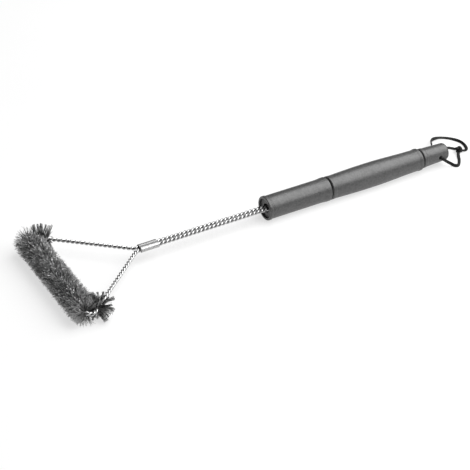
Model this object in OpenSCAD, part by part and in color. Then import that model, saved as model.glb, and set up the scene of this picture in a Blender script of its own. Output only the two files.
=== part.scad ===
// Three-sided grill cleaning brush, lying on a flat surface with its handle along +X.
// A twisted pair of steel wires runs out of the handle, round a triangular head that is
// packed with wire bristles, and back into the handle. A leather loop hangs at the rear end.

/* [Overall] */
// Length from the bristle tips at the front to the flat rear end of the handle
overall_length = 533; // [520:1:550]
// Length of the handle
handle_length = 257.5; // [250:0.5:262]

/* [Head] */
// Diameter over the bristle tips
brush_diameter = 33; // [31:0.5:36]
// Distance between the two wire corners, measured where their straight centre lines meet
corner_spread = 173; // [164:1:182]
// Distance from the head's wire to the front of the neck ferrule
leg_reach = 99; // [94:1:104]
// Bend radius of the wire at the corners of the head
corner_bend = 5; // [4.5:0.1:5.5]
// Bend radius where the legs straighten before the ferrule
neck_bend = 13; // [10:1:14]
// Distance along a leg from its corner to the middle of the corner bristles
corner_bristle_place = 21; // [20:0.5:23]
// Length of a leg that carries the corner bristles
corner_bristle_length = 14; // [10:0.5:15]

/* [Wire] */
// Length along the rod for one full turn of the twist
twist_pitch = 10.6; // [10:0.1:12]
// Radius of one wire, to the corners of its six-sided section
wire_radius = 1.2; // [1.1:0.01:1.2]
// Distance from the middle of the stem to the middle of each twisted rod
rod_offset = 2.7; // [2.7:0.05:2.8]

/* [Ferrule] */
// Length of the crimped neck ferrule
ferrule_length = 22; // [16:0.5:26]
// Wall of the neck ferrule
ferrule_wall = 0.7; // [0.5:0.1:1]

/* [Handle] */
// Largest radius of the grip
grip_radius = 15; // [14.6:0.1:15.4]
// Radius of the straight front sleeve
sleeve_radius = 13.9; // [13.5:0.1:14.1]
// Radius of the rim at the front of the handle
rim_radius = 14.5; // [14.3:0.1:14.6]
// Length of the front sleeve
sleeve_length = 84.5; // [82:0.5:86]
// Distance from the rear end of the handle to the rear edge of the grip
rear_length = 39.5; // [38:0.5:42]
// Radius of the handle at its rear end
rear_radius = 10.7; // [10.4:0.1:11]
// Distance from the rear end of the handle to the cross hole
hole_from_end = 13.5; // [12:0.5:15]
// Radius of the cross hole
hole_radius = 2.6; // [2.3:0.1:2.9]

/* [Lace] */
// Diameter of the lace
lace_diameter = 2.6; // [2:0.1:3]

/* [Hidden] */
$fn = 96;
axis_z = grip_radius;              // the grip and the bristles both touch z = 0
brush_r = brush_diameter / 2;
head_x = -overall_length / 2 + brush_r;
end_x = overall_length / 2;
front_x = end_x - handle_length;
corner_y = corner_spread / 2;
gap = 0.1;                         // clearance left between pieces of the handle

// ---- twisted wire ----
rings_per_turn = 6;
wire_sides = 6;
helix_radius = wire_radius / cos(180 / rings_per_turn) + 0.005;
rod_radius = helix_radius + wire_radius;
stem_inside = 74;                  // length of stem hidden in the handle
stem_end_x = front_x + stem_inside;
ferrule_x = head_x + leg_reach;
neck_x = ferrule_x - 5;            // where the straight legs would meet the stem rods
leg_angle = atan2(corner_y - rod_offset, neck_x - head_x);
leg_direction = [cos(leg_angle), -sin(leg_angle)];
corner_turn = 90 + leg_angle;      // the wire turns this far round each corner
neck_cut = neck_bend * tan(leg_angle / 2);
corner_cut = corner_bend * tan(corner_turn / 2);
leg_length = norm([neck_x - head_x, corner_y - rod_offset]);
// Each move is [length, turn in degrees, number of steps].
moves = [
    [stem_end_x - neck_x - neck_cut, 0, 1],
    [neck_bend * leg_angle * PI / 180, -leg_angle, 6],
    [leg_length - neck_cut - corner_cut, 0, 1],
    [corner_bend * corner_turn * PI / 180, corner_turn, 16],
    [corner_spread - 2 * corner_cut, 0, 1],
    [corner_bend * corner_turn * PI / 180, corner_turn, 16],
    [leg_length - neck_cut - corner_cut, 0, 1],
    [neck_bend * leg_angle * PI / 180, -leg_angle, 6],
    [stem_end_x - neck_x - neck_cut, 0, 1],
];
steps = [for (m = moves) for (j = [1:m[2]]) [m[0] / m[2], m[1] / m[2]]];

// Straight distance covered by a step that bends by a small angle.
function chord(step) =
    step[1] == 0 ? step[0] : 2 * step[0] * 180 / PI / step[1] * sin(step[1] / 2);

// The wire route as rows of [distance, x, y, heading].
route = [
    for (
        i = 0, s = 0, x = stem_end_x, y = rod_offset, h = 180;
        i <= len(steps);
        x = x + chord(steps[min(i, len(steps) - 1)]) * cos(h + steps[min(i, len(steps) - 1)][1] / 2),
        y = y + chord(steps[min(i, len(steps) - 1)]) * sin(h + steps[min(i, len(steps) - 1)][1] / 2),
        h = h + steps[min(i, len(steps) - 1)][1],
        s = s + steps[min(i, len(steps) - 1)][0],
        i = i + 1
    )
    [s, x, y, h]
];
route_length = route[len(route) - 1][0];
route_x = [for (r = route) [r[0], r[1]]];
route_y = [for (r = route) [r[0], r[2]]];
route_heading = [for (r = route) [r[0], r[3]]];
ring_count = ceil(route_length / twist_pitch * rings_per_turn);

// ---- handle ----
sleeve_end_x = front_x + sleeve_length;
front_groove_width = 1.6;          // between the sleeve and the grip
rear_groove_width = 2;             // between the grip and the bare rear end
rear_groove_radius = 9.4;
rear_front_radius = 11.7;          // the rear end is widest just behind its groove
grip_start_x = sleeve_end_x + front_groove_width;
swell_start_x = grip_start_x + 5.2;
grip_top_x = grip_start_x + 58.5;
grip_end_x = end_x - rear_length;
rear_start_x = grip_end_x + rear_groove_width;
grip_front_radius = 13.7;
grip_rear_radius = 13.2;
bead_height = 0.6;                 // of the beads at the rear edges of the sleeve and the grip
collar_height = 0.45;              // of the low collars just behind both grooves
collar_length = 4.2;
edge_radius = 0.7;                 // of the rounded edges of the sleeve and the grip
core_radius = 10.4;
core_bore = 6.4;
core_front_x = front_x + 8;
recess_depth = 2.2;
recess_radius = 11.6;
plug_mouth_radius = 5.7;
plug_mouth_depth = 7;
plug_tube_length = 10;
hole_x = end_x - hole_from_end;
pin_x = stem_end_x + 5;
pin_radius = 1.5;
anchor_length = 16;
anchor_radius = 3.5;
anchor_waist = 5;
tongue = [10, 8, 4];               // flat tongue behind the anchor sleeve, drilled for the pin
rod_waist = 3.4;                   // height of the gap between two side-by-side rods
swell_points = 12;

// Radius of the grip, rising fast to its swell and easing down to its rear edge.
function grip_r(x) =
    let (
        rise = sin(90 * (x - grip_start_x) / (grip_top_x - grip_start_x)),
        fall = (1 - cos(180 * (x - grip_top_x) / (grip_end_x - grip_top_x))) / 2
    )
    x < grip_top_x
        ? grip_front_radius + (grip_radius - grip_front_radius) * rise
        : grip_radius - (grip_radius - grip_rear_radius) * fall;

// ---- lace ----
// The route starts and ends in the middle of the cross hole, and the two ends face each other.
lace_route = [
    [253, -0.2, 15], [253, -6, 15], [253, -11, 15], [254.2, -13, 14.2], [256.6, -13.6, 12.4],
    [259.6, -13.6, 10], [263.2, -13.4, 7], [266.8, -13.8, 4.4], [269.4, -15.4, 2.6],
    [271.6, -17.8, 1.6], [274.2, -18.8, 1.4], [277.2, -17.2, 1.4], [280.2, -14.2, 1.4],
    [283, -11, 1.4], [285.6, -7.6, 1.4], [287.8, -4, 1.5], [290, -0.4, 1.9], [292.6, 3.2, 2.6],
    [296.4, 6.4, 3], [301.2, 6.4, 2.4], [305.6, 6, 1.6], [309.8, 8.6, 1.4], [312.4, 13.4, 1.4],
    [313.8, 19.8, 1.4], [313.6, 26.8, 1.4], [311.6, 33.8, 1.4], [307.8, 40.2, 1.4],
    [302, 45.2, 1.5], [295.2, 47.4, 2], [288, 46.4, 3.2], [281.6, 42.8, 5], [276, 37.4, 7],
    [271.4, 31.2, 9], [267, 24.8, 11.2], [262, 19, 13.4], [256.6, 14.8, 14.8],
    [253, 11, 15], [253, 6, 15], [253, 0.2, 15],
];
tail_route = [
    [296.8, 9.8, 3.4], [297.2, 13.6, 1.9], [296, 17.4, 1.4], [293.4, 20.8, 1.4],
    [290, 23.6, 1.4], [286, 25.6, 1.4], [281.4, 26.6, 1.4], [276.8, 26.8, 1.4],
];
knot_place = [296.6, 7.6, 4.4];
knot_radius = 4.4;
lace_sides = 8;

// ---- general shapes ----

function unit(v) = v / norm(v);

// Tube through rings of points: rings[i][j] is point j of ring i.
module ring_tube(rings) {
    n = len(rings[0]);
    last = len(rings) - 1;
    points = [for (ring = rings) for (p = ring) p];
    sides = [
        for (i = [0:last - 1]) for (j = [0:n - 1])
            let (a = i * n + j, b = i * n + (j + 1) % n)
            each [[a, b, a + n], [b, b + n, a + n]]
    ];
    first_cap = [for (j = [n - 1:-1:0]) j];
    last_cap = [for (j = [0:n - 1]) last * n + j];
    polyhedron(points = points, faces = concat(sides, [first_cap], [last_cap]), convexity = 10);
}

// One ring of a tube around centre c, square to direction t.
function ring_at(c, t, r, sides) =
    let (u = unit([0, 0, 1] - t * t[2]), v = cross(t, u))
    [for (j = [0:sides - 1]) let (a = 360 * j / sides) c + r * (cos(a) * v + sin(a) * u)];

// Solid of revolution about the handle's axis, from an outline of [radius, x] points.
module turned(outline) {
    translate([0, 0, axis_z])
        rotate([0, 90, 0])
            rotate_extrude()
                polygon(outline);
}

// Section shaped like a figure of eight, for two rods side by side, run along X.
module two_rod_bar(x0, x1, radius, waist) {
    translate([x0, 0, axis_z])
        rotate([90, 0, 90])
            linear_extrude(x1 - x0) {
                for (side = [-1, 1])
                    translate([side * rod_offset, 0])
                        circle(radius);
                square([2 * rod_offset, waist], center = true);
            }
}

// ---- twisted wires ----

// Centre of a wire at distance s along the route, wound about the rod at angle a.
function wire_centre(s, a) =
    let (h = lookup(s, route_heading))
    [
        lookup(s, route_x) - helix_radius * cos(a) * sin(h),
        lookup(s, route_y) + helix_radius * cos(a) * cos(h),
        axis_z + helix_radius * sin(a)
    ];

// Direction of a wire there; the lay is left-handed.
function wire_direction(s, a) =
    let (h = lookup(s, route_heading), k = 2 * PI * helix_radius / twist_pitch)
    unit([
        cos(h) - k * sin(a) * sin(h),
        sin(h) + k * sin(a) * cos(h),
        -k * cos(a)
    ]);

module core_wire(start_angle) {
    color("lightgray")
        ring_tube([
            for (i = [0:ring_count])
                let (s = route_length * i / ring_count, a = start_angle - 360 * s / twist_pitch)
                ring_at(wire_centre(s, a), wire_direction(s, a), wire_radius, wire_sides)
        ]);
}

module core_wire_a() {
    core_wire(0);
}

module core_wire_b() {
    core_wire(180);
}

// ---- bristles ----

mitre_angle = (leg_angle + 90) / 2;
bristle_bore = rod_radius + 0.25;

// Everything on the leg's side of the plane that splits the corner in two.
module mitre_half(side, clearance) {
    translate([head_x, side * corner_y, 0])
        rotate([0, 0, -side * mitre_angle])
            translate([-60, side > 0 ? clearance : -60 - clearance, -10])
                cube([120, 60, 60]);
}

module bristle_drum(length) {
    difference() {
        rotate([90, 0, 0])
            cylinder(r = brush_r, h = length, center = true);
        rotate([90, 0, 0])
            cylinder(r = bristle_bore, h = length + 2, center = true);
    }
}

// Keeps what is above the surface that the bristles are pressed flat on.
module above_surface() {
    intersection() {
        children();
        translate([head_x - 50, -150, 0])
            cube([200, 300, 80]);
    }
}

module head_bristles() {
    color("gray")
        above_surface()
            difference() {
                translate([head_x, 0, axis_z])
                    bristle_drum(corner_spread - 2 * corner_cut);
                for (side = [-1, 1])
                    mitre_half(side, -0.4);
            }
}

module corner_bristles(side) {
    color("gray")
        above_surface()
            intersection() {
                translate([
                    head_x + corner_bristle_place * leg_direction[0],
                    side * (corner_y + corner_bristle_place * leg_direction[1]),
                    axis_z
                ])
                    rotate([0, 0, side * (90 - leg_angle)])
                        bristle_drum(corner_bristle_length);
                mitre_half(side, 0.4);
            }
}

module right_corner_bristles() {
    corner_bristles(1);
}

module left_corner_bristles() {
    corner_bristles(-1);
}

// ---- neck and handle ----

module neck_ferrule() {
    inside = rod_radius + 0.15;
    rear_x = ferrule_x + ferrule_length;
    color("silver")
        difference() {
            two_rod_bar(ferrule_x, rear_x, inside + ferrule_wall, rod_waist + 2 * ferrule_wall);
            two_rod_bar(ferrule_x - 1, rear_x + 1, inside, rod_waist);
        }
}

// Recessed disc that closes the front of the handle round the stem.
module front_plug() {
    color("dimgray")
        difference() {
            turned([
                [0, front_x + recess_depth],
                [recess_radius, front_x + recess_depth],
                [recess_radius, core_front_x - gap],
                [core_bore - gap, core_front_x - gap],
                [core_bore - gap, core_front_x + plug_tube_length],
                [0, core_front_x + plug_tube_length],
            ]);
            turned([
                [0, front_x],
                [plug_mouth_radius, front_x],
                [plug_mouth_radius, front_x + plug_mouth_depth],
                [0, front_x + plug_mouth_depth],
            ]);
            two_rod_bar(front_x, core_front_x + plug_tube_length + 2, rod_radius + 0.15, rod_waist);
        }
}

module front_sleeve() {
    bead_radius = sleeve_radius + bead_height;
    color("slategray")
        turned([
            [recess_radius + gap, front_x],
            [rim_radius - 1.2, front_x],
            [rim_radius - 0.4, front_x + 0.4],
            [rim_radius, front_x + 1.2],
            [rim_radius, front_x + 3.2],
            [sleeve_radius - 0.2, front_x + 4.4],
            [sleeve_radius, front_x + 7],
            [sleeve_radius, sleeve_end_x - 11],
            [bead_radius, sleeve_end_x - 4],
            [bead_radius, sleeve_end_x - 1.4],
            [bead_radius - 0.4, sleeve_end_x - 0.5],
            [bead_radius - edge_radius - 0.4, sleeve_end_x],
            [core_radius + gap, sleeve_end_x],
            [core_radius + gap, core_front_x],
            [recess_radius + gap, core_front_x],
        ]);
}

module centre_grip() {
    color("slategray")
        turned(concat(
            [
                [core_radius + gap, grip_start_x],
                [grip_front_radius - edge_radius, grip_start_x],
                [grip_front_radius + collar_height, grip_start_x + 1],
                [grip_front_radius + collar_height, grip_start_x + collar_length],
            ],
            [
                for (i = [0:swell_points])
                    let (x = swell_start_x + (grip_top_x - swell_start_x) * i / swell_points)
                    [grip_r(x), x]
            ],
            [
                for (i = [1:swell_points])
                    let (x = grip_top_x + (grip_end_x - 6 - grip_top_x) * i / swell_points)
                    [grip_r(x), x]
            ],
            [
                [grip_rear_radius + bead_height, grip_end_x - 3.6],
                [grip_rear_radius + bead_height, grip_end_x - 2],
                [grip_rear_radius, grip_end_x - 0.6],
                [grip_rear_radius - edge_radius, grip_end_x],
                [core_radius + gap, grip_end_x],
            ]
        ));
}

// Moulded core: a tube under the sleeve and the grip, and the bare rear end with the cross hole.
module handle_core() {
    color("slategray")
        difference() {
            turned([
                [core_bore, core_front_x],
                [core_radius, core_front_x],
                [core_radius, grip_end_x - 1],
                [rear_groove_radius, grip_end_x - 1],
                [rear_groove_radius, rear_start_x],
                [rear_front_radius - 0.4, rear_start_x],
                [rear_front_radius + collar_height, rear_start_x + 0.8],
                [rear_front_radius + collar_height, rear_start_x + collar_length],
                [rear_front_radius, rear_start_x + 5.2],
                [rear_radius, end_x - 2.2],
                [rear_radius - 0.5, end_x - 0.8],
                [rear_radius - 1.5, end_x],
                [0, end_x],
                [0, grip_end_x - 4],
                [core_bore, grip_end_x - 8],
            ]);
            translate([hole_x, 0, axis_z])
                rotate([90, 0, 0])
                    cylinder(r = hole_radius, h = 40, center = true);
            translate([pin_x, 0, axis_z])
                cylinder(r = pin_radius + 0.05, h = 40, center = true);
        }
}

// Crimped sleeve on the hidden ends of the stem, with a drilled tongue behind them.
module stem_anchor() {
    color("silver")
        difference() {
            union() {
                two_rod_bar(stem_end_x - anchor_length, stem_end_x + 1, anchor_radius, anchor_waist);
                translate([pin_x, 0, axis_z])
                    cube(tongue, center = true);
            }
            two_rod_bar(stem_end_x - anchor_length - 1, stem_end_x + 0.2, rod_radius + 0.1, rod_waist);
            translate([pin_x, 0, axis_z])
                cylinder(r = pin_radius + 0.05, h = 10, center = true);
        }
}

module anchor_pin() {
    color("silver")
        translate([pin_x, 0, axis_z])
            cylinder(r = pin_radius, h = 2 * core_radius - 0.6, center = true);
}

// ---- lace ----

// Direction of a route at point i, from its neighbours.
function route_direction(points, i) =
    unit(points[min(i + 1, len(points) - 1)] - points[max(i - 1, 0)]);

module lace(points) {
    color([0.07, 0.07, 0.07])
        ring_tube([
            for (i = [0:len(points) - 1])
                ring_at(points[i], route_direction(points, i), lace_diameter / 2, lace_sides)
        ]);
}

module lace_loop() {
    lace(lace_route);
}

module lace_tail() {
    lace(tail_route);
}

module lace_knot() {
    color([0.07, 0.07, 0.07])
        translate(knot_place)
            sphere(r = knot_radius);
}

core_wire_a();
core_wire_b();
head_bristles();
right_corner_bristles();
left_corner_bristles();
neck_ferrule();
front_plug();
front_sleeve();
centre_grip();
handle_core();
stem_anchor();
anchor_pin();
lace_loop();
lace_knot();
lace_tail();
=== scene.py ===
"""Looks of the three-sided grill cleaning brush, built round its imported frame."""
import math

import bpy
import numpy as np
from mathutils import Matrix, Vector


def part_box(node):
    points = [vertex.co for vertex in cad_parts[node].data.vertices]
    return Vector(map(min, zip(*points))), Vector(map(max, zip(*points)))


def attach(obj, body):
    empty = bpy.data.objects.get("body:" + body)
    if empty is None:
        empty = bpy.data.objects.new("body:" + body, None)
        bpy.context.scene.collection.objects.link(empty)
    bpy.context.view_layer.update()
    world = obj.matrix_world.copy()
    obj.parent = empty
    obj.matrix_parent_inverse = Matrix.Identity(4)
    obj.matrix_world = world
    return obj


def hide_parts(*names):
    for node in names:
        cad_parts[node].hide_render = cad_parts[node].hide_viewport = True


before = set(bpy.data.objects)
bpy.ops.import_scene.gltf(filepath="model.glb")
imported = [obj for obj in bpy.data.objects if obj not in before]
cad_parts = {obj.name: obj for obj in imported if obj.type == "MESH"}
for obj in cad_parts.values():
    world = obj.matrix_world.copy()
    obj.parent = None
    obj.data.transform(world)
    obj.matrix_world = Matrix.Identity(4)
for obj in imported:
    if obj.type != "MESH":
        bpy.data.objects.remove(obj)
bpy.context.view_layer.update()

MM = 0.001
BRUSH = "brush"
LACE = "lace"


# ---------------------------------------------------------------- places, in millimetres

def box_mm(node):
    low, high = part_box(node)
    return np.array(low) / MM, np.array(high) / MM


head_low, head_high = box_mm("head_bristles")
HEAD_X = (head_low[0] + head_high[0]) / 2
BRUSH_RADIUS = (head_high[0] - head_low[0]) / 2
AXIS_Z = head_high[2] - BRUSH_RADIUS
ROW_HALF = head_high[1]                     # the head's row of bristles ends here
FERRULE_FRONT, FERRULE_REAR = box_mm("neck_ferrule")[0][0], box_mm("neck_ferrule")[1][0]
STEM_END_X = box_mm("core_wire_a")[1][0]
HANDLE_FRONT, SLEEVE_END = box_mm("front_sleeve")[0][0], box_mm("front_sleeve")[1][0]
GRIP_START, GRIP_END = box_mm("centre_grip")[0][0], box_mm("centre_grip")[1][0]
GRIP_RADIUS = AXIS_Z                        # the handle rests on its swell
RIM_RADIUS = box_mm("front_sleeve")[1][1]
PLUG_RADIUS = box_mm("front_plug")[1][1]
CORE_RADIUS = 10.4
SLEEVE_RADIUS = 13.9
GRIP_FRONT_RADIUS = 13.7
GRIP_REAR_RADIUS = 13.2
GRIP_RISE = 58.5                            # from the grip's front to its swell
BEAD_HEIGHT = 0.6                           # of the beads at the rear edges of sleeve and grip
COLLAR_HEIGHT = 0.45                        # of the low collar at the grip's front

CORNER_Y = 86.5                             # where the head's and a leg's straight lines meet
CORNER_BEND = 5                             # radii of the rod's bends
NECK_BEND = 13
ROD_OFFSET = 2.7                            # from the middle of the stem to each rod
WIRE_RADIUS = 1.2
TWIST_PITCH = 10.6
NECK_X = FERRULE_FRONT - 5                  # where the stem's and a leg's straight lines meet
LEG_ANGLE = math.atan2(CORNER_Y - ROD_OFFSET, NECK_X - HEAD_X)
TUFT_PLACE = 21                             # from the corner to the middle of a leg's bristles
TUFT_LENGTH = 14


# ---------------------------------------------------------------- camera

def aim(thing, azimuth_deg, elevation_deg, distance, target=(0, 0, 0)):
    """Put a camera or light at that distance from the target, looking at it.

    At azimuth 0 it stands on the -Y side, and a positive azimuth takes it towards +X.
    """
    azimuth, elevation = math.radians(azimuth_deg), math.radians(elevation_deg)
    back = Vector((
        math.sin(azimuth) * math.cos(elevation),
        -math.cos(azimuth) * math.cos(elevation),
        math.sin(elevation),
    ))
    bpy.context.collection.objects.link(thing)
    thing.location = Vector(target) + back * distance
    thing.rotation_mode = "QUATERNION"
    thing.rotation_quaternion = (-back).to_track_quat("-Z", "Y")


def add_camera():
    """The camera stands beyond the head, on the -Y side of the stem, and looks down."""
    data = bpy.data.cameras.new("camera")
    data.lens = 100.1
    camera = bpy.data.objects.new("camera", data)
    aim(camera, -30.38, 33.89, distance=1.4467, target=(-0.0475, -0.0297, 0.015))
    bpy.context.scene.camera = camera


# ---------------------------------------------------------------- materials

class Nodes:
    """A short way to write one material's nodes."""

    def __init__(self, name):
        self.material = bpy.data.materials.new(name)
        self.material.use_nodes = True
        self.tree = self.material.node_tree
        self.shader = self.tree.nodes["Principled BSDF"]
        self.place = self.tree.nodes.new("ShaderNodeTexCoord").outputs["Object"]

    def add(self, kind, **sockets):
        node = self.tree.nodes.new(kind)
        for name, value in sockets.items():
            self.put(node.inputs[name.replace("_", " ")], value)
        return node

    def put(self, socket, value):
        if hasattr(value, "links"):
            self.tree.links.new(value, socket)
        else:
            socket.default_value = value

    def set(self, **sockets):
        for name, value in sockets.items():
            self.put(self.shader.inputs[name.replace("_", " ")], value)

    def noise(self, size_mm, detail=3.0, stretch=None):
        """Noise with features of about that size, drawn out along X, Y and Z by stretch."""
        place = self.place
        if stretch:
            place = self.add("ShaderNodeMapping", Vector=place, Scale=stretch).outputs[0]
        scale = 1 / (size_mm * MM)
        node = self.add("ShaderNodeTexNoise", Vector=place, Scale=scale, Detail=detail)
        return node.outputs["Fac"]

    def spread(self, value, low, high, dark=0.3, light=0.7):
        """A value spread from dark..light to low..high."""
        return self.add(
            "ShaderNodeMapRange",
            Value=value, From_Min=dark, From_Max=light, To_Min=low, To_Max=high,
        ).outputs[0]

    def times(self, a, b):
        node = self.tree.nodes.new("ShaderNodeMath")
        node.operation = "MULTIPLY"
        self.put(node.inputs[0], a)
        self.put(node.inputs[1], b)
        return node.outputs[0]

    def grey(self, value):
        """A value as a neutral colour."""
        return self.add("ShaderNodeCombineColor", Red=value, Green=value, Blue=value).outputs[0]

    def bump(self, height, depth_mm):
        return self.add(
            "ShaderNodeBump", Height=height, Distance=depth_mm * MM, Strength=1.0
        ).outputs[0]

    def attribute(self, name):
        node = self.tree.nodes.new("ShaderNodeAttribute")
        node.attribute_name = name
        return node.outputs["Fac"]


def bright_wire():
    """Drawn steel wire: bright, with dull spots, and painted shade darkening the grooves of the
    twist.
    """
    m = Nodes("bright_wire_steel")
    m.set(Metallic=1.0)
    # Painted shade: the base colour darkens where a wire faces the other wire, down in the groove
    # of the twist.
    painted_groove_shade = m.spread(m.attribute("outward"), 0.62, 1.0, 0.4, 0.8)
    m.set(Base_Color=m.grey(m.times(painted_groove_shade, m.spread(m.noise(2.5), 0.5, 0.62))))
    m.set(Roughness=m.spread(m.noise(0.9), 0.3, 0.44))
    m.set(Normal=m.bump(m.noise(0.25, 2.0), 0.02))
    return m.material


def bristle_wire():
    """Fine steel wire with painted shade, darker near the twist and paler at the cut tips, and no
    two bundles alike.
    """
    m = Nodes("bristle_steel")
    m.set(Metallic=0.7)
    # Painted shade: the base colour darkens from the cut tips down to the twist, where the dense
    # wires shade each other.
    tone = m.times(m.attribute("bundle_tone"), m.spread(m.attribute("along"), 0.3, 0.95, 0.4, 1.0))
    patches = m.times(m.spread(m.noise(1.2), 0.85, 1.1), m.spread(m.noise(16.0), 0.75, 1.2))
    m.set(Base_Color=m.grey(m.times(tone, patches)))
    m.set(Roughness=m.spread(m.noise(0.8), 0.34, 0.55))
    return m.material


def ferrule_steel():
    """Pressed stainless sheet with rubbed lines along its length."""
    m = Nodes("ferrule_steel")
    m.set(Metallic=1.0)
    lines = m.noise(0.5, 4.0, (0.06, 1.0, 1.0))
    m.set(Base_Color=m.grey(m.spread(m.noise(3.0), 0.42, 0.54)))
    m.set(Roughness=m.spread(lines, 0.46, 0.62))
    m.set(Normal=m.bump(lines, 0.03))
    return m.material


def moulded_plastic(name, shade, roughness):
    """Hard matte plastic from a finely textured mould, a little uneven where hands have held it."""
    m = Nodes(name)
    patches = m.spread(m.noise(14.0, 4.0), 0.92, 1.06)
    speckle = m.spread(m.noise(2.2, 4.0), 0.72, 1.28)
    m.set(Base_Color=m.grey(m.times(m.times(patches, speckle), shade)))
    m.set(Roughness=m.spread(m.noise(6.0, 4.0), roughness - 0.05, roughness + 0.07))
    m.set(Specular_IOR_Level=0.65)
    m.set(Normal=m.bump(m.noise(1.6, 4.0), 0.16))
    return m.material


def leather():
    """Black waxed leather lace with a fine grain and paler rubbed spots."""
    m = Nodes("black_leather")
    grain = m.noise(0.5, 5.0)
    m.set(Base_Color=m.grey(m.spread(m.noise(1.6, 4.0), 0.004, 0.013)))
    m.set(Roughness=m.spread(grain, 0.5, 0.75))
    m.set(Specular_IOR_Level=0.22)
    m.set(Normal=m.bump(grain, 0.12))
    return m.material


def floor_paint():
    """White studio floor. Its glow lifts it to white, so that only shadows show on it."""
    m = Nodes("floor")
    m.set(Base_Color=m.grey(m.spread(m.noise(400.0), 0.28, 0.3)))
    m.set(Roughness=0.9)
    m.set(Specular_IOR_Level=0.1)
    m.set(Emission_Color=(1, 1, 1, 1))
    m.set(Emission_Strength=0.66)
    return m.material


# ---------------------------------------------------------------- mesh tools

def make_piece(name, points_mm, faces, material, body, replaced, sharp_deg=40):
    """One smooth-shaded mesh piece that rides on a body and stands for CAD nodes."""
    mesh = bpy.data.meshes.new(name)
    mesh.from_pydata((np.asarray(points_mm, float) * MM).tolist(), [], faces)
    mesh.validate()
    mesh.shade_smooth()
    mesh.set_sharp_from_angle(angle=math.radians(sharp_deg))
    mesh.materials.append(material)
    piece = bpy.data.objects.new(name, mesh)
    bpy.context.collection.objects.link(piece)
    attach(piece, body)
    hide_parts(*replaced)
    return piece


def point_values(piece, name, values):
    """Numbers on the piece's points, for its material to read."""
    piece.data.attributes.new(name, "FLOAT", "POINT").data.foreach_set("value", values)


def tube_faces(rings, sides, ends="closed"):
    """Faces that join rings of points, stored one ring after another.

    Both ends get a cap, or the last ring is joined to the first where ends is "joined".
    """
    faces = []
    last = rings if ends == "joined" else rings - 1
    for i in range(last):
        for j in range(sides):
            a, b = i * sides + j, i * sides + (j + 1) % sides
            c, d = ((i + 1) % rings) * sides + (j + 1) % sides, ((i + 1) % rings) * sides + j
            faces.append((a, b, c, d))
    if ends == "closed":
        faces.append(tuple(range(sides - 1, -1, -1)))
        faces.append(tuple(range((rings - 1) * sides, rings * sides)))
    return faces


def unit(v):
    return v / np.linalg.norm(v, axis=-1, keepdims=True)


def around(sides):
    """Equal angles round a full turn."""
    return 2 * math.pi * np.arange(sides) / sides


def sweep(points, section, turn=None):
    """Points of a tube along a row of points, its (n, 2) section turned by so much at each."""
    points = np.asarray(points, float)
    along = unit(np.gradient(points, axis=0))
    up = unit(np.array([0, 0, 1]) - along * along[:, 2:3])
    side = np.cross(along, up)
    angle = np.zeros(len(points)) if turn is None else np.asarray(turn)
    cos, sin = np.cos(angle)[:, None], np.sin(angle)[:, None]
    across, through = side * cos + up * sin, up * cos - side * sin
    return section_rings(points, section, across, through).reshape(-1, 3)


def section_rings(path, section, across, through):
    """A ring of the section's points round each point of a path, in that point's two directions."""
    first, second = section[None, :, :1], section[None, :, 1:]
    return path[:, None] + first * across[:, None] + second * through[:, None]


def circle(radius, sides):
    a = around(sides)
    return np.stack([radius * np.cos(a), radius * np.sin(a)], axis=1)


def rounded_strip(width, thickness, sides):
    """Outline of a flat strip with soft edges."""
    a = around(sides)
    squareness = 0.6                        # 1 is an ellipse, 0 a rectangle
    x = np.sign(np.cos(a)) * np.abs(np.cos(a)) ** squareness * width / 2
    y = np.sign(np.sin(a)) * np.abs(np.sin(a)) ** squareness * thickness / 2
    return np.stack([x, y], axis=1)


# ---------------------------------------------------------------- twisted wires

def rod_route(spacing):
    """Rows of distance, x, y and heading along the twisted rod, out of the handle and back."""
    corner_turn = math.pi / 2 + LEG_ANGLE
    neck_cut = NECK_BEND * math.tan(LEG_ANGLE / 2)
    corner_cut = CORNER_BEND * math.tan(corner_turn / 2)
    leg = math.hypot(NECK_X - HEAD_X, CORNER_Y - ROD_OFFSET) - neck_cut - corner_cut
    stem = STEM_END_X - NECK_X - neck_cut
    half = [
        (stem, 0),
        (NECK_BEND * LEG_ANGLE, -LEG_ANGLE),
        (leg, 0),
        (CORNER_BEND * corner_turn, corner_turn),
    ]
    moves = half + [(2 * (CORNER_Y - corner_cut), 0)] + half[::-1]
    rows = [(0.0, STEM_END_X, ROD_OFFSET, math.pi)]
    for length, turn in moves:
        count = max(1, round(length / spacing))
        step, bend = length / count, turn / count
        for _ in range(count):
            s, x, y, heading = rows[-1]
            chord = step if bend == 0 else 2 * step / bend * math.sin(bend / 2)
            x += chord * math.cos(heading + bend / 2)
            y += chord * math.sin(heading + bend / 2)
            rows.append((s + step, x, y, heading + bend))
    return np.array(rows)


def twisted_wires(material):
    """Both wires of the left-handed twist, as smooth round wire."""
    s, x, y, heading = rod_route(TWIST_PITCH / 18).T
    sides = 12
    for name, start in (("a", 0), ("b", math.pi)):
        a = start - 2 * math.pi * s / TWIST_PITCH
        centre = np.stack([
            x - WIRE_RADIUS * np.cos(a) * np.sin(heading),
            y + WIRE_RADIUS * np.cos(a) * np.cos(heading),
            AXIS_Z + WIRE_RADIUS * np.sin(a),
        ], axis=1)
        rings = sweep(centre, circle(WIRE_RADIUS, sides))
        piece = make_piece(
            "twisted_wire_" + name, rings, tube_faces(len(s), sides), material,
            BRUSH, ["core_wire_" + name],
        )
        # What the material reads for the painted shade in the groove: 0 against the other wire to 1
        # on the outside of the twist.
        rod = np.stack([x, y, np.full(len(s), AXIS_Z)], axis=1)
        distance = np.linalg.norm(rings.reshape(len(s), sides, 3) - rod[:, None], axis=2)
        point_values(piece, "outward", (distance / (2 * WIRE_RADIUS)).reshape(-1))


# ---------------------------------------------------------------- bristles

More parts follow.
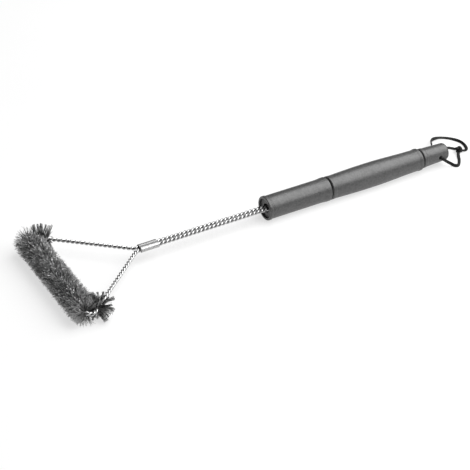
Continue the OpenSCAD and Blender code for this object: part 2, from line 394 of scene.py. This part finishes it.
BRISTLE_RADIUS = 0.18
BRISTLE_SIDES = 3
BRISTLE_RINGS = np.array([0.0, 0.4, 0.75, 1.0])     # shares of its length with a ring of points
BRISTLE_ROOT = 0.9                                  # from the middle of the twist to a wire's root
GOLDEN_ANGLE = math.radians(137.5)                  # spreads the bundles evenly round the twist
LEANING_END = 8                                     # bundles this near an end lean out


def filaments(base, tip, kinks):
    """Points and faces of fine wires from base to tip, each pushed aside by its kinks."""
    n, rings, sides = len(base), len(BRISTLE_RINGS), BRISTLE_SIDES
    line = base[:, None] + (tip - base)[:, None] * BRISTLE_RINGS[None, :, None] + kinks
    line[:, :, 2] = np.maximum(line[:, :, 2], BRISTLE_RADIUS + 0.05)
    along = unit(tip - base)
    no_wire_runs_this_way = np.array([0.31, 0.17, 0.93])
    side = unit(np.cross(along, no_wire_runs_this_way))
    up = np.cross(along, side)
    a = around(sides)
    ring = np.cos(a)[None, :, None] * side[:, None] + np.sin(a)[None, :, None] * up[:, None]
    points = line[:, :, None] + BRISTLE_RADIUS * ring[:, None]
    one = tube_faces(rings, sides)
    size = rings * sides
    faces = [tuple(point + i * size for point in face) for i in range(n) for face in one]
    return points.reshape(-1, 3), faces


def bristles(
    name, replaced, middle, direction, length, bundles, each, tangle, loose, kink, splay, seed,
    material
):
    """A stretch of bristles caught in the twist, in bundles of so many wires each.

    direction runs along the twist, from the handle's side to the corner's, or along the head.
    splay gives how far the last bundles at its two ends lean out, tangle how much bundles lean at
    random, loose how far the tips of one bundle scatter, and kink how bent each wire is.
    """
    rng = np.random.default_rng(seed)
    direction = np.array(direction, float)
    side = np.cross([0, 0, 1], direction)
    up = np.array([0, 0, 1.0])

    # One row per bundle: its place along the twist, its angle about it and where its tips go.
    place = (np.arange(bundles) + rng.random(bundles)) / bundles * length - length / 2
    angle = np.arange(bundles) * GOLDEN_ANGLE + rng.normal(0, 0.25, bundles)
    at_end = np.clip((np.abs(place) - length / 2 + LEANING_END) / LEANING_END, 0, 1) ** 1.4
    lean = rng.normal(0, tangle, bundles) + np.where(place > 0, splay[1], -splay[0]) * at_end
    ragged = 0.03 * np.sin(place * 1.3 + 3 * angle)
    reach = BRUSH_RADIUS * (rng.uniform(0.9, 1.04, bundles) + ragged)
    tone = rng.uniform(0.25, 0.85, bundles)

    # One row per wire: the place, angle and radius of its root and its tip. One in ten strays.
    k = np.repeat(np.arange(bundles), each)
    n = len(k)
    stray = np.where(rng.random(n) < 0.1, 2.4, 1.0)
    root_place = np.clip(place[k] + rng.normal(0, 0.8, n), -length / 2, length / 2)
    tip_place = place[k] + lean[k] + rng.normal(0, loose, n) * stray
    root_angle = angle[k] + rng.normal(0, 0.3, n)
    tip_angle = angle[k] + rng.normal(0, loose / BRUSH_RADIUS, n) * stray
    # A wire that leans reaches less far out, but never less than the root of 60.
    leaning = np.sqrt(np.maximum(reach[k] ** 2 - 0.5 * (tip_place - root_place) ** 2, 60))
    tip_radius = leaning * rng.uniform(0.93, 1.0, n)

    def at(along_twist, angles, radii):
        out = np.cos(angles)[:, None] * side + np.sin(angles)[:, None] * up
        return np.asarray(middle) + along_twist[:, None] * direction + radii[:, None] * out

    base = at(root_place, root_angle, np.full(n, BRISTLE_ROOT))
    tip = at(tip_place, tip_angle, tip_radius)
    kinks = rng.normal(0, kink, (n, len(BRISTLE_RINGS), 3))
    kinks[:, 0] = 0
    points, faces = filaments(base, tip, kinks)
    piece = make_piece(name, points, faces, material, BRUSH, [replaced], 80)

    # What the material reads: each wire's random tone, and 0 at the twist to 1 at the tips for the
    # painted shade.
    per_wire = len(BRISTLE_RINGS) * BRISTLE_SIDES
    point_values(piece, "bundle_tone", np.repeat(tone[k] * rng.uniform(0.6, 1.4, n), per_wire))
    point_values(piece, "along", np.tile(np.repeat(BRISTLE_RINGS, BRISTLE_SIDES), n))


def all_bristles(material):
    """The row across the head and the short row on each leg, just behind the corner."""
    bristles(
        "head_bristle_wires", "head_bristles", (HEAD_X, 0, AXIS_Z), (0, 1, 0), 2 * ROW_HALF,
        bundles=9200, each=1, tangle=2.2, loose=0.8, kink=0.6, splay=(2, 4), seed=11,
        material=material,
    )
    for side, name, corner_splay, seed in ((1, "right", 4, 23), (-1, "left", 0.5, 31)):
        to_corner = (-math.cos(LEG_ANGLE), side * math.sin(LEG_ANGLE), 0)
        middle = (
            HEAD_X - TUFT_PLACE * to_corner[0],
            side * CORNER_Y - TUFT_PLACE * to_corner[1],
            AXIS_Z,
        )
        bristles(
            name + "_corner_bristle_wires", name + "_corner_bristles", middle, to_corner,
            TUFT_LENGTH, bundles=70, each=20, tangle=1.0, loose=0.5, kink=0.3,
            splay=(3, corner_splay), seed=seed, material=material,
        )


# ---------------------------------------------------------------- neck ferrule

def neck_ferrule(material):
    """Sheet sleeve pressed round both rods, with a valley between them and lipped ends."""
    wall = 0.7
    bore = WIRE_RADIUS * 2 + 0.25           # radius of each lobe inside
    presses = (8, 14)                       # where the tool has pressed it in
    sides = 72
    a = around(sides)
    length = FERRULE_REAR - FERRULE_FRONT
    # Rings stand close together at the lips and where it is pressed.
    stations = [
        0, 0.12, 0.3, 0.6, 1.2, 2.5, 5, 7, 8, 9, 11,
        13, 14, 15, 17, 19.5, 20.8, 21.4, 21.7, 21.88, 22,
    ]

    def ring(station, grow):
        """Two lobes of that much more than the bore, with the valley between them softened."""
        x = FERRULE_FRONT + length * station / stations[-1]
        radius = bore + grow
        y = ROD_OFFSET * np.tanh(np.cos(a) * 3.2) + radius * np.cos(a)
        valley = 0.55 * np.exp(-(y / 1.1) ** 2)
        z = np.sin(a) * (radius - valley * np.abs(np.sin(a)))
        return np.stack([np.full(sides, x), y, z + AXIS_Z], axis=1)

    outer, inner = [], []
    for station in stations:
        from_end = min(station, stations[-1] - station)
        lip = 0.22 * math.exp(-from_end / 0.7)
        edge = 0.3 * max(0.0, 1 - from_end / 0.3) ** 2
        press = sum(0.1 * math.exp(-((station - at) / 1.3) ** 2) for at in presses)
        outer.append(ring(station, wall + lip - edge - press))
        inner.append(ring(station, lip + edge * 0.6 - press * 0.3))
    rings = outer + inner[::-1]
    make_piece(
        "pressed_neck_ferrule", np.concatenate(rings), tube_faces(len(rings), sides, "joined"),
        material, BRUSH, ["neck_ferrule"],
    )


# ---------------------------------------------------------------- handle

def rounded_outline(corners, steps=6):
    """Closed outline with each (x, radius, fillet) corner rounded, and long edges divided.

    A long edge is divided close to both of its ends too, which keeps the shading even between.
    """
    nearly_straight = math.radians(179.5)
    longest_cut = 0.45                      # share of an edge that one fillet may take
    long_edge, end_division, division = 0.9, 0.25, 3
    n = len(corners)
    out = []
    for i in range(n):
        before, corner, after = (np.array(corners[(i + k) % n][:2], float) for k in (-1, 0, 1))
        fillet = corners[i][2]
        back, ahead = before - corner, after - corner
        angle = math.acos(np.clip(unit(back) @ unit(ahead), -1, 1))
        if fillet == 0 or angle > nearly_straight:
            out.append(corner)
            continue
        edges = longest_cut * np.linalg.norm(back), longest_cut * np.linalg.norm(ahead)
        cut = min(fillet / math.tan(angle / 2), *edges)
        start, end = corner + unit(back) * cut, corner + unit(ahead) * cut
        for k in range(steps + 1):
            t = k / steps
            # A quadratic blend follows the arc closely at these small sizes.
            out.append((1 - t) ** 2 * start + 2 * t * (1 - t) * corner + t ** 2 * end)
    dense = []
    for i, point in enumerate(out):
        dense.append(point)
        edge = out[(i + 1) % len(out)] - point
        gap = np.linalg.norm(edge)
        if gap > long_edge:
            middle = np.linspace(0, 1, max(2, int(gap / division)) + 1)[1:-1]
            near_end = end_division / gap
            dense += [point + edge * t for t in (near_end, *middle, 1 - near_end)]
    return np.array(dense)


def turned(name, corners, material, replaced, sides=128):
    """A piece turned about the handle's axis from a closed outline of its corners."""
    outline = rounded_outline(corners)
    x, radius = np.repeat(outline, sides, axis=0).T
    a = np.tile(around(sides), len(outline))
    points = np.stack([x, radius * np.cos(a), AXIS_Z + radius * np.sin(a)], axis=1)
    make_piece(
        name, points, tube_faces(len(outline), sides, "joined"), material, BRUSH, replaced
    )


def grip_profile():
    """Corners along the outside of the grip: its collar, a quick rise to the swell, and a long
    fall to the bead at its rear edge."""
    top_x = GRIP_START + GRIP_RISE
    collar = GRIP_FRONT_RADIUS + COLLAR_HEIGHT
    bead = GRIP_REAR_RADIUS + BEAD_HEIGHT

    def rising(x):
        share = math.sin(math.pi / 2 * (x - GRIP_START) / (top_x - GRIP_START))
        return GRIP_FRONT_RADIUS + (GRIP_RADIUS - GRIP_FRONT_RADIUS) * share

    def falling(x):
        share = (1 + math.cos(math.pi * (x - top_x) / (GRIP_END - top_x))) / 2
        return GRIP_REAR_RADIUS + (GRIP_RADIUS - GRIP_REAR_RADIUS) * share

    return [
        (GRIP_START, GRIP_FRONT_RADIUS - 0.7, 0.4), (GRIP_START + 1, collar, 0.8),
        (GRIP_START + 4.2, collar, 0.8),
        *((x, rising(x), 0) for x in np.linspace(GRIP_START + 5.4, top_x, 28)),
        *((x, falling(x), 0) for x in np.linspace(top_x + 2, GRIP_END - 6, 34)),
        (GRIP_END - 3.8, bead, 1), (GRIP_END - 1.4, bead, 0.8),
        (GRIP_END, GRIP_REAR_RADIUS - 0.6, 0.4),
    ]


def handle(material):
    """The sleeve and the grip, turned to slide over the core."""
    gap = 0.1
    inside = CORE_RADIUS + gap
    recess = PLUG_RADIUS + gap
    bead = SLEEVE_RADIUS + BEAD_HEIGHT
    turned("moulded_front_sleeve", [
        (HANDLE_FRONT, recess, 0.4), (HANDLE_FRONT, RIM_RADIUS, 1.4),
        (HANDLE_FRONT + 3.4, RIM_RADIUS, 0.5), (HANDLE_FRONT + 4.3, SLEEVE_RADIUS - 0.3, 0.6),
        (HANDLE_FRONT + 7, SLEEVE_RADIUS, 2), (SLEEVE_END - 11, SLEEVE_RADIUS, 3),
        (SLEEVE_END - 4.5, bead, 3), (SLEEVE_END - 0.6, bead, 1),
        (SLEEVE_END, bead - 1.1, 0.5), (SLEEVE_END, inside, 0),
        (HANDLE_FRONT + 8, inside, 0), (HANDLE_FRONT + 8, recess, 0),
    ], material, ["front_sleeve"])
    turned("moulded_centre_grip", [
        (GRIP_START, inside, 0), *grip_profile(), (GRIP_END, inside, 0),
    ], material, ["centre_grip"])


# ---------------------------------------------------------------- lace

LACE_WIDTH = 3.9
LACE_THICKNESS = 1.8
LYING_BELOW = 1.6                           # a lower point of a route lies on the surface
# The loop starts and ends in the middle of the cross hole.
LACE_ROUTE = [
    (253, -0.2, 15), (253, -6, 15), (253, -11, 15), (254.2, -13, 14.2), (256.6, -13.6, 12.4),
    (259.6, -13.6, 10), (263.2, -13.4, 7), (266.8, -13.8, 4.4), (269.4, -15.4, 2.6),
    (271.6, -17.8, 1.6), (274.2, -18.8, 1.4), (277.2, -17.2, 1.4), (280.2, -14.2, 1.4),
    (283, -11, 1.4), (285.6, -7.6, 1.4), (287.8, -4, 1.5), (290, -0.4, 1.9), (292.6, 3.2, 2.6),
    (296.4, 6.4, 3), (301.2, 6.4, 2.4), (305.6, 6, 1.6), (309.8, 8.6, 1.4), (312.4, 13.4, 1.4),
    (313.8, 19.8, 1.4), (313.6, 26.8, 1.4), (311.6, 33.8, 1.4), (307.8, 40.2, 1.4),
    (302, 45.2, 1.5), (295.2, 47.4, 2), (288, 46.4, 3.2), (281.6, 42.8, 5), (276, 37.4, 7),
    (271.4, 31.2, 9), (267, 24.8, 11.2), (262, 19, 13.4), (256.6, 14.8, 14.8),
    (253, 11, 15), (253, 6, 15), (253, 0.2, 15),
]
TAIL_ROUTE = [
    (296.8, 9.8, 3.4), (297.2, 13.6, 1.9), (296, 17.4, 1.4), (293.4, 20.8, 1.4),
    (290, 23.6, 1.4), (286, 25.6, 1.4), (281.4, 26.6, 1.4), (276.8, 26.8, 1.4),
]
KNOT_PLACE = (296.6, 7.6, 4.4)


def smooth_route(route, per_step):
    """Points along a smooth curve through the route, several to each of its steps."""
    p = np.array(route, float)
    p = np.concatenate([[2 * p[0] - p[1]], p, [2 * p[-1] - p[-2]]])
    out = []
    for i in range(1, len(p) - 2):
        for t in np.arange(per_step) / per_step:
            out.append(0.5 * (
                2 * p[i] + (p[i + 1] - p[i - 1]) * t
                + (2 * p[i - 1] - 5 * p[i] + 4 * p[i + 1] - p[i + 2]) * t ** 2
                + (3 * p[i] - p[i - 1] - 3 * p[i + 1] + p[i + 2]) * t ** 3
            ))
    out.append(p[-2])
    return np.array(out)


def flat_lace(name, route, turns, material, replaced):
    """A flat lace along a route, as its piece and its path in metres.

    turns are (share of the length, angle of its flat side in degrees).
    """
    path = smooth_route(route, 5)
    travelled = np.cumsum(np.linalg.norm(np.diff(path, axis=0, prepend=path[:1]), axis=1))
    share = travelled / travelled[-1]
    turn = np.radians(np.interp(share, *zip(*turns)))
    # Where it lies on the surface, it rests on it with its side or its edge.
    half = np.hypot(LACE_WIDTH / 2 * np.sin(turn), LACE_THICKNESS / 2 * np.cos(turn))
    resting = half + 0.08
    path[:, 2] = np.where(path[:, 2] < LYING_BELOW, resting, np.maximum(path[:, 2], resting))
    for _ in range(6):
        path[1:-1, 2] = (path[:-2, 2] + 2 * path[1:-1, 2] + path[2:, 2]) / 4
    sides = 16
    section = rounded_strip(LACE_WIDTH, LACE_THICKNESS, sides)
    rings = sweep(path, section, turn).reshape(len(path), sides, 3)
    uneven = 1 + 0.05 * np.sin(share * 47)
    rings = path[:, None] + (rings - path[:, None]) * uneven[:, None, None]
    rings[:, :, 2] = np.maximum(rings[:, :, 2], 0.03)
    piece = make_piece(
        name, rings.reshape(-1, 3), tube_faces(len(path), sides), material, LACE, [replaced],
        60,
    )
    return piece, path * MM


def lace_knot(material):
    """The overhand knot, drawn tight: a trefoil of the same lace, resting on the surface."""
    t = np.linspace(0, 2 * math.pi, 97)[:-1]
    ring, lobe, squeeze = 2.5, 1.45, 1.7
    path = np.stack([
        (ring + lobe * np.cos(3 * t)) * np.cos(2 * t),
        (ring + lobe * np.cos(3 * t)) * np.sin(2 * t),
        lobe * np.sin(3 * t) * squeeze,
    ], axis=1)
    along = unit(np.roll(path, -1, axis=0) - np.roll(path, 1, axis=0))
    out = unit(path - path.mean(axis=0))
    out = unit(out - along * (out * along).sum(axis=1, keepdims=True))
    across = np.cross(along, out)
    sides = 14
    section = rounded_strip(2.9, 2.1, sides)
    points = section_rings(path, section, across, out).reshape(-1, 3) + np.array(KNOT_PLACE)
    points[:, 2] = np.maximum(points[:, 2], 0.1)
    return make_piece(
        "tight_lace_knot", points, tube_faces(len(t), sides, "joined"), material, LACE,
        ["lace_knot"], 60,
    )


def lace(material):
    """The loop, the knot that closes it and its free end."""
    knot = lace_knot(material)
    loop, path = flat_lace(
        "flat_lace_loop", LACE_ROUTE,
        [(0, 90), (0.15, 90), (0.2, 130), (0.24, 180), (0.38, 180), (0.45, 200), (0.5, 250),
         (0.57, 190), (0.66, 190), (0.74, 260), (1, 270)],
        material, "lace_loop",
    )
    tail, path = flat_lace(
        "flat_lace_tail", TAIL_ROUTE, [(0, 30), (0.3, 10), (1, 0)], material, "lace_tail",
    )


# ---------------------------------------------------------------- floor and light

def add_floor(material):
    """A wide square floor. A camera near the floor's level sees its far edge."""
    mesh = bpy.data.meshes.new("floor")
    reach = 6.0
    corners = [(-reach, -reach, 0), (reach, -reach, 0), (reach, reach, 0), (-reach, reach, 0)]
    mesh.from_pydata(corners, [], [(0, 1, 2, 3)])
    mesh.materials.append(material)
    floor = bpy.data.objects.new("floor", mesh)
    bpy.context.collection.objects.link(floor)


def add_area_light(name, azimuth_deg, elevation_deg, distance, width, height, power):
    """A soft box that looks at the middle of the brush from that direction."""
    data = bpy.data.lights.new(name, "AREA")
    data.shape = "RECTANGLE"
    data.size = width
    data.size_y = height
    data.energy = power
    light = bpy.data.objects.new(name, data)
    light.visible_camera = False
    aim(light, azimuth_deg, elevation_deg, distance)


def add_light():
    """One large soft box high above the handle, and a trace of light from all round."""
    world = bpy.data.worlds.new("studio")
    world.use_nodes = True
    background = world.node_tree.nodes["Background"]
    background.inputs["Color"].default_value = (1, 1, 1, 1)
    background.inputs["Strength"].default_value = 0.05
    bpy.context.scene.world = world
    add_area_light(
        "overhead", azimuth_deg=66, elevation_deg=58, distance=2.0, width=3.0, height=2.4, power=100
    )
    bpy.context.scene.view_settings.view_transform = "Standard"


# ---------------------------------------------------------------- the brush

def dress_nodes(plastic, plug, steel):
    """Fine materials for the CAD nodes that are shown as they are."""
    chosen = {
        "handle_core": plastic, "front_plug": plug, "stem_anchor": steel, "anchor_pin": steel,
    }
    for name, material in chosen.items():
        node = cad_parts[name]
        node.data.materials.clear()
        node.data.materials.append(material)
        node.data.shade_smooth()
        node.data.set_sharp_from_angle(angle=math.radians(30))


add_camera()
lace(leather())
twisted_wires(bright_wire())
all_bristles(bristle_wire())
sheet_steel = ferrule_steel()
neck_ferrule(sheet_steel)
grip_plastic = moulded_plastic("handle_plastic", 0.06, 0.4)
handle(grip_plastic)
dress_nodes(grip_plastic, moulded_plastic("plug_plastic", 0.06, 0.45), sheet_steel)
add_floor(floor_paint())
add_light()
